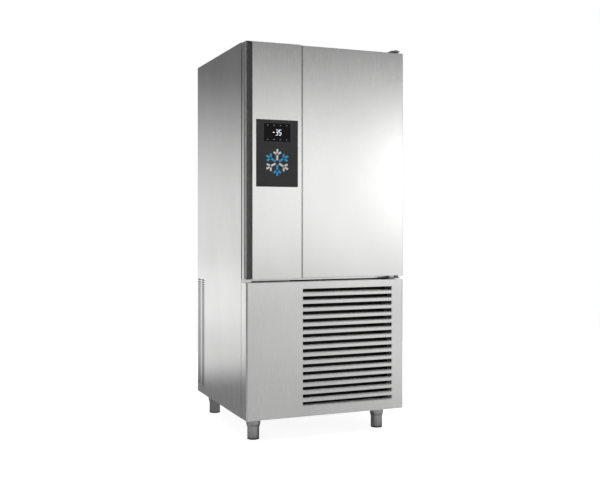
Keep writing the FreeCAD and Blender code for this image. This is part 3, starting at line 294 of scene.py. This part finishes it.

# painted shade: the sheets darkened on the side that faces the machine bay, and the grip darkened
# in its hollow
half = skin["sheet"] / 2
sideLow, sideHigh = nodeBox("left_side_panel")
rightHigh = nodeBox("right_side_panel")[1]
backLow = nodeBox("rear_service_panel")[0]
gripLow = nodeBox("door_handle_grip")[0]
panelHigh = nodeBox("lower_front_panel")[1]
betweenFolds = [("Y", "above", sideLow[1] + half), ("Y", "below", sideHigh[1] - half)]
paintedShade = {
    "left_side_panel": ([("X", "above", sideLow[0] + half), *betweenFolds], skin["bayShade"], 0.0),
    "right_side_panel": ([("X", "below", rightHigh[0] - half), *betweenFolds], skin["bayShade"], 0.0),
    "rear_service_panel": ([("Y", "below", backLow[1] + half)], skin["bayShade"], 0.0),
    "door_handle_grip": ([("X", "above", gripLow[0] + skin["gripWall"])], skin["hollow"], 1.0),
}
shadedZinc = zincCoat("shadedZinc", (0.09, 0.09, 0.092))  # the posts stand in the dark
seamShadow = {"width": 0.004, "tone": (0.12, 0.12, 0.12)}  # painted shadow line at the joint beside the lower panel's return
for name, node in nodes.items():
    node.data.materials.clear()
    finish = shadedZinc if name == "front_posts" else finishes[slotOf[name]]
    if name in paintedShade:
        base = brushedSteel(name + "_steel", skin["tone"], upright, skin["satin"])
        finish = toneInZone(base, *paintedShade[name])
        if name == "left_side_panel":
            # a painted shadow line along the left side sheet's front edge, below the lower panel's
            # top
            seamShadowLimits = [("Y", "below", sideLow[1] + seamShadow["width"]), ("Z", "below", panelHigh[2])]
            toneInZone(finish, seamShadowLimits, seamShadow["tone"], 1.0)
    node.data.materials.append(finish)
print("finishes set:", len(bpy.data.materials))


# a piece of the scene from points and faces, on a body
def meshPiece(name, points, faces, finish, body):
    mesh = bpy.data.meshes.new(name)
    mesh.from_pydata(np.asarray(points).tolist(), [], np.asarray(faces).tolist())
    mesh.update()
    mesh.materials.append(finish)
    piece = bpy.data.objects.new(name, mesh)
    bpy.context.scene.collection.objects.link(piece)
    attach(piece, body)
    return piece


# faces of a box whose corners 0 to 3 are behind and 4 to 7 in front
boxFaces = [
    [0, 3, 2, 1],
    [4, 5, 6, 7],
    [0, 1, 5, 4],
    [1, 2, 6, 5],
    [2, 3, 7, 6],
    [3, 0, 4, 7],
]


# flat strokes on a plane that faces the front: each stroke is a box from one end to the other,
# widened to both sides of its line, from the plane to the plane less the thickness
def strokePlate(name, strokes, width, plane, thickness, finish, body):
    lines = np.asarray(strokes, float)
    start = lines[:, 0:2]
    along = lines[:, 2:4] - start
    along /= np.linalg.norm(along, axis=1)[:, None]
    across = np.stack([-along[:, 1], along[:, 0]], 1) * width / 2
    end = lines[:, 2:4]
    corners = np.stack([start - across, end - across, end + across, start + across], 1)
    back = np.insert(corners, 1, plane, axis=2)
    front = np.insert(corners, 1, plane - thickness, axis=2)
    points = np.concatenate([back, front], 1).reshape(-1, 3)
    sides = np.array(boxFaces)
    faces = (sides[None] + 8 * np.arange(len(lines))[:, None, None]).reshape(-1, 4)
    return meshPiece(name, points, faces, finish, body)


# a lit mark of the display
def glowing(name, colour, strength):
    finish, tree, shader = newFinish(name, colour, 0.0, 0.5)
    shader.inputs["Emission Color"].default_value = (*colour, 1)
    shader.inputs["Emission Strength"].default_value = strength
    fleck = stretchedNoise(tree, (2000.0,) * 3, 1.0)
    tree.links.new(tintBy(tree, fleck, dimmed(colour, 0.9), colour), shader.inputs["Base Color"])
    return finish


# strokes of a seven-part digit in a unit cell: (x0, z0, x1, z1)
segmentStrokes = {
    "a": (0.1, 1, 0.9, 1),
    "b": (1, 0.55, 1, 0.95),
    "c": (1, 0.05, 1, 0.45),
    "d": (0.1, 0, 0.9, 0),
    "f": (0, 0.55, 0, 0.95),
    "g": (0.1, 0.5, 0.9, 0.5),
}
litSegments = {"-": "g", "3": "abgcd", "5": "afgcd"}

readout = {
    "text": "-35",
    "height": 0.024,  # of a digit
    "widthShare": 0.42,  # of its height
    "slant": 0.002,
    "advance": 0.0155,
    "stroke": 0.0026,
    "thickness": 0.0001,
}
printGap = 0.00005  # between a surface and what is printed or shown on it
windowLow, windowHigh = nodeBox("display_window")
glassFace = windowLow[1] - printGap
middleX = (windowLow[0] + windowHigh[0]) / 2
middleZ = (windowLow[2] + windowHigh[2]) / 2
digitWidth = readout["height"] * readout["widthShare"]
strokes = []
left = middleX - (len(readout["text"]) * readout["advance"]) / 2
for place, sign in enumerate(readout["text"]):
    for segment in litSegments[sign]:
        x0, z0, x1, z1 = segmentStrokes[segment]
        base = left + place * readout["advance"]
        strokes.append(
            (
                base + x0 * digitWidth + z0 * readout["slant"],
                middleZ + (z0 - 0.5) * readout["height"],
                base + x1 * digitWidth + z1 * readout["slant"],
                middleZ + (z1 - 0.5) * readout["height"],
            )
        )
litWhite = glowing("litWhite", (0.9, 0.95, 1.0), 0.8)
strokePlate(
    "readout_digits",
    strokes,
    readout["stroke"],
    glassFace,
    readout["thickness"],
    litWhite,
    "door",
)

# small keys above and below the number: plus signs along the window's edges
keys = {
    "count": 4,  # in a row
    "length": 0.007,
    "stroke": 0.0012,
    "inset": 0.009,  # from the window's upper and lower edge
    "sideInset": 0.018,
    "thickness": 0.0001,
}
faintGrey = glowing("faintGrey", (0.28, 0.31, 0.34), 0.35)
strokes = []
first, last = windowLow[0] + keys["sideInset"], windowHigh[0] - keys["sideInset"]
reach = keys["length"] / 2
rise = keys["length"] / 3  # the upright stroke is two thirds of the level one
for z in (windowLow[2] + keys["inset"], windowHigh[2] - keys["inset"]):
    for x in np.linspace(first, last, keys["count"]):
        strokes.append((x - reach, z, x + reach, z))
        strokes.append((x, z - rise, x, z + rise))
strokePlate(
    "display_keys",
    strokes,
    keys["stroke"],
    glassFace,
    keys["thickness"],
    faintGrey,
    "door",
)

# a plain six-armed frost sign under the display
frost = {
    "arms": 6,
    "arm": 0.06,
    "hub": 0.01,  # open middle
    "stroke": 0.009,
    "branch": 0.021,
    "branchAt": 0.6,  # share of the arm
    "branchTurn": 60,  # degrees
    "drop": 0.094,  # below the window
    "thickness": 0.0002,
}
fasciaLow, fasciaHigh = nodeBox("control_fascia")
fasciaFace = fasciaLow[1] - printGap
signX = (fasciaLow[0] + fasciaHigh[0]) / 2
signZ = windowLow[2] - frost["drop"]
armStrokes = {"pale": [], "blue": []}
for arm in range(frost["arms"]):
    angle = math.radians(90 + 360 / frost["arms"] * arm)
    ux, uz = math.cos(angle), math.sin(angle)
    group = armStrokes["pale" if arm % 2 == 0 else "blue"]
    hub, tip = frost["hub"], frost["arm"]
    group.append((signX + ux * hub, signZ + uz * hub, signX + ux * tip, signZ + uz * tip))
    knee = tip * frost["branchAt"]
    for side in (-1, 1):
        turn = angle + side * math.radians(frost["branchTurn"])
        group.append(
            (
                signX + ux * knee,
                signZ + uz * knee,
                signX + ux * knee + math.cos(turn) * frost["branch"],
                signZ + uz * knee + math.sin(turn) * frost["branch"],
            )
        )
printWhite = mattSurface("printWhite", (0.9, 0.91, 0.92), 0.5, speckle=2000.0, relief=0.0)
printBlue = mattSurface("printBlue", (0.02, 0.45, 0.85), 0.5, speckle=2000.0, relief=0.0)
for shade, finish in (("pale", printWhite), ("blue", printBlue)):
    strokePlate(
        "frost_sign_" + shade,
        armStrokes[shade],
        frost["stroke"],
        fasciaFace,
        frost["thickness"],
        finish,
        "door",
    )
print("display made")


studio = {
    "floorEdges": (-6.0, 6.0, -9.0, 2.4),  # left, right, near and far
    "floorTone": (0.7, 0.7, 0.7),
    "worldLight": 0.3,  # of the background, where it isn't seen
    "floorWhite": 0.88,  # the floor's own white where it is seen
    "floorInMetal": 0.03,  # share of it that metal shows
    "cameraPlace": (-1.657, -4.1075, 0.997),
    "cameraTurn": (90.0, 0.0, -22.282),  # degrees
    "lens": 52.805,
    "shiftY": -0.03223,
}


# a flat quad between four corners
def cardMesh(name, corners, finish):
    mesh = bpy.data.meshes.new(name)
    mesh.from_pydata(corners, [], [(0, 1, 2, 3)])
    mesh.materials.append(finish)
    card = bpy.data.objects.new(name, mesh)
    bpy.context.scene.collection.objects.link(card)
    return card


# one where a ray comes straight from the camera, plus a share where metal or glass shows it
def seenShare(tree, inMetal):
    paths = addNode(tree, "ShaderNodeLightPath")
    mirrors = addNode(tree, "ShaderNodeMath", operation="MAXIMUM")
    tree.links.new(paths.outputs["Is Glossy Ray"], mirrors.inputs[0])
    tree.links.new(paths.outputs["Is Transmission Ray"], mirrors.inputs[1])
    share = addNode(tree, "ShaderNodeMath", operation="MULTIPLY")
    share.inputs[1].default_value = inMetal
    tree.links.new(mirrors.outputs[0], share.inputs[0])
    total = addNode(tree, "ShaderNodeMath", operation="MAXIMUM")
    tree.links.new(share.outputs[0], total.inputs[0])
    tree.links.new(paths.outputs["Is Camera Ray"], total.inputs[1])
    return total.outputs[0]


# the background is plain white where it is seen, and gives soft light elsewhere
world = bpy.data.worlds.new("studio")
bpy.context.scene.world = world
world.use_nodes = True
tree = world.node_tree
tree.nodes.clear()
output = addNode(tree, "ShaderNodeOutputWorld")
litWorld = addNode(tree, "ShaderNodeBackground", Color=(1, 1, 1, 1), Strength=studio["worldLight"])
seenWorld = addNode(tree, "ShaderNodeBackground", Color=(1, 1, 1, 1), Strength=1.0)
mix = addNode(tree, "ShaderNodeMixShader")
tree.links.new(seenShare(tree, 1.0), mix.inputs[0])
tree.links.new(litWorld.outputs[0], mix.inputs[1])
tree.links.new(seenWorld.outputs[0], mix.inputs[2])
tree.links.new(mix.outputs[0], output.inputs["Surface"])

# pale floor: white where it is seen, with what the object's shadow takes away
floorFinish, tree, shader = newFinish("paleFloor", studio["floorTone"], 0.0, 0.9)
shader.inputs["Specular IOR Level"].default_value = 0.0
glow = addNode(tree, "ShaderNodeEmission", Color=(1, 1, 1, 1))
strength = addNode(tree, "ShaderNodeMath", operation="MULTIPLY")
strength.inputs[1].default_value = studio["floorWhite"]
tree.links.new(seenShare(tree, studio["floorInMetal"]), strength.inputs[0])
tree.links.new(strength.outputs[0], glow.inputs["Strength"])
both = addNode(tree, "ShaderNodeAddShader")
tree.links.new(shader.outputs[0], both.inputs[0])
tree.links.new(glow.outputs[0], both.inputs[1])
tree.links.new(both.outputs[0], tree.nodes["Material Output"].inputs["Surface"])
left, right, near, far = studio["floorEdges"]
floorCorners = [(left, near, 0), (right, near, 0), (right, far, 0), (left, far, 0)]
cardMesh("floor", floorCorners, floorFinish)


# a card that only the metal shows: its tones run up its height, and rise by a gain to the right
def gradedCard(name, corners, tones, rise=(0.0, 1.0, 1.0)):
    low, high = corners[0][2], corners[2][2]
    card, tree, shader = newFinish(name, (0, 0, 0), 0.0, 1.0)
    place = addNode(tree, "ShaderNodeTexCoord")
    split = addNode(tree, "ShaderNodeSeparateXYZ")
    climb = addNode(tree, "ShaderNodeMapRange")
    climb.inputs["From Min"].default_value = low
    climb.inputs["From Max"].default_value = high
    ramp = addNode(tree, "ShaderNodeValToRGB")
    while len(ramp.color_ramp.elements) < len(tones):
        ramp.color_ramp.elements.new(0.5)
    for stop, (height, tone) in zip(ramp.color_ramp.elements, tones):
        stop.position = (height - low) / (high - low)
        stop.color = (tone, tone, tone, 1)
    start, end, gain = rise
    side = addNode(tree, "ShaderNodeMapRange")
    side.inputs["From Min"].default_value = start
    side.inputs["From Max"].default_value = end
    side.inputs["To Min"].default_value = 1.0
    side.inputs["To Max"].default_value = gain
    glow = addNode(tree, "ShaderNodeEmission")
    tree.links.new(place.outputs["Object"], split.inputs["Vector"])
    tree.links.new(split.outputs["Z"], climb.inputs["Value"])
    tree.links.new(split.outputs["X"], side.inputs["Value"])
    tree.links.new(side.outputs["Result"], glow.inputs["Strength"])
    tree.links.new(climb.outputs["Result"], ramp.inputs["Fac"])
    tree.links.new(ramp.outputs["Color"], glow.inputs["Color"])
    tree.links.new(glow.outputs[0], tree.nodes["Material Output"].inputs["Surface"])
    piece = cardMesh(name, corners, card)
    piece.visible_camera = False
    piece.visible_diffuse = False
    piece.visible_shadow = False
    piece.visible_transmission = False


# the four corners of an upright card between two places on the floor plan
def uprightCard(start, end, low, high):
    return [(*start, low), (*end, low), (*end, high), (*start, high)]


# tones are (height, grey), and a rise is (x where it starts, x where it ends, gain)
frontTones = [
    (0.0, 0.36),
    (0.35, 0.53),
    (0.7, 1.0),
    (1.6, 1.03),
    (2.0, 0.97),
    (2.45, 0.53),
    (2.87, 0.11),
    (7.5, 0.02),
]
gradedCard(
    "frontCard",
    uprightCard((0.2, -5.2), (5.4, -5.2), 0.0, 7.5),
    frontTones,
    (1.7, 3.0, 1.16),
)
gradedCard(
    "frontFloorCard",
    [(0.0, -5.2, 0.003), (5.4, -5.2, 0.003), (5.4, -0.6, 0.004), (-0.3, -0.6, 0.004)],
    [(0.003, 0.5), (0.004, 0.5)],
    (0.4, 1.6, 1.5),
)
gradedCard(
    "rearFloorCard",
    [(-3.4, 0.0, 0.003), (1.2, 0.0, 0.003), (1.2, 4.0, 0.013), (-3.4, 4.0, 0.013)],
    [(0.003, 0.22), (0.0056, 0.2), (0.0076, 0.75), (0.013, 0.85)],
)
gradedCard(
    "rearCard",
    uprightCard((-2.8, 4.0), (1.5, 4.0), 0.55, 7.0),
    [(0.55, 0.85), (1.2, 0.82), (1.65, 0.63), (2.05, 0.37), (2.4, 0.16), (7.0, 0.1)],
)
gradedCard(
    "leftCard",
    uprightCard((-2.6, -4.6), (-2.8, 4.0), 0.0, 7.0),
    [(0.0, 0.24), (1.3, 0.24), (2.4, 0.12), (7.0, 0.04)],
)
gradedCard(
    "nearLeftCard",
    uprightCard((-2.6, -5.2), (0.2, -5.2), 0.0, 7.5),
    [(0.0, 0.2), (1.6, 0.24), (2.45, 0.14), (2.9, 0.06), (7.5, 0.02)],
    (-1.4, 0.2, 3.0),
)
gradedCard(
    "rightCard",
    uprightCard((5.4, -4.6), (5.4, 4.0), 0.0, 7.0),
    [(0.0, 0.2), (1.5, 0.2), (3.0, 0.05), (7.0, 0.04)],
)
gradedCard(
    "ceilingCard",
    [(-3.4, -5.2, 7.0), (5.4, -5.2, 7.0), (5.4, 4.0, 7.2), (-3.4, 4.0, 7.2)],
    [(7.0, 0.3), (7.2, 0.3)],
)


# a soft box that faces a point
def softBox(name, place, target, width, height, power):
    lamp = bpy.data.lights.new(name, "AREA")
    lamp.shape = "RECTANGLE"
    lamp.size = width
    lamp.size_y = height
    lamp.energy = power
    light = bpy.data.objects.new(name, lamp)
    light.location = place
    aim = np.asarray(target, float) - np.asarray(place, float)
    light.rotation_euler = (
        math.atan2(math.hypot(aim[0], aim[1]), -aim[2]),
        0.0,
        math.atan2(-aim[0], aim[1]),
    )
    bpy.context.scene.collection.objects.link(light)


softBox("frontBox", (3.4, -5.1, 1.5), (0.3, -0.4, 1.2), width=2.4, height=0.8, power=14)
softBox("topBox", (-0.5, -1.8, 4.6), (0, 0, 1.0), width=3.0, height=3.0, power=80)

camera = bpy.data.cameras.new("camera")
camera.sensor_width = 36
camera.lens = studio["lens"]
camera.shift_y = studio["shiftY"]
view = bpy.data.objects.new("camera", camera)
view.location = studio["cameraPlace"]
view.rotation_euler = [math.radians(v) for v in studio["cameraTurn"]]
bpy.context.scene.collection.objects.link(view)
bpy.context.scene.camera = view
bpy.context.scene.view_settings.view_transform = "Standard"
print("studio set")
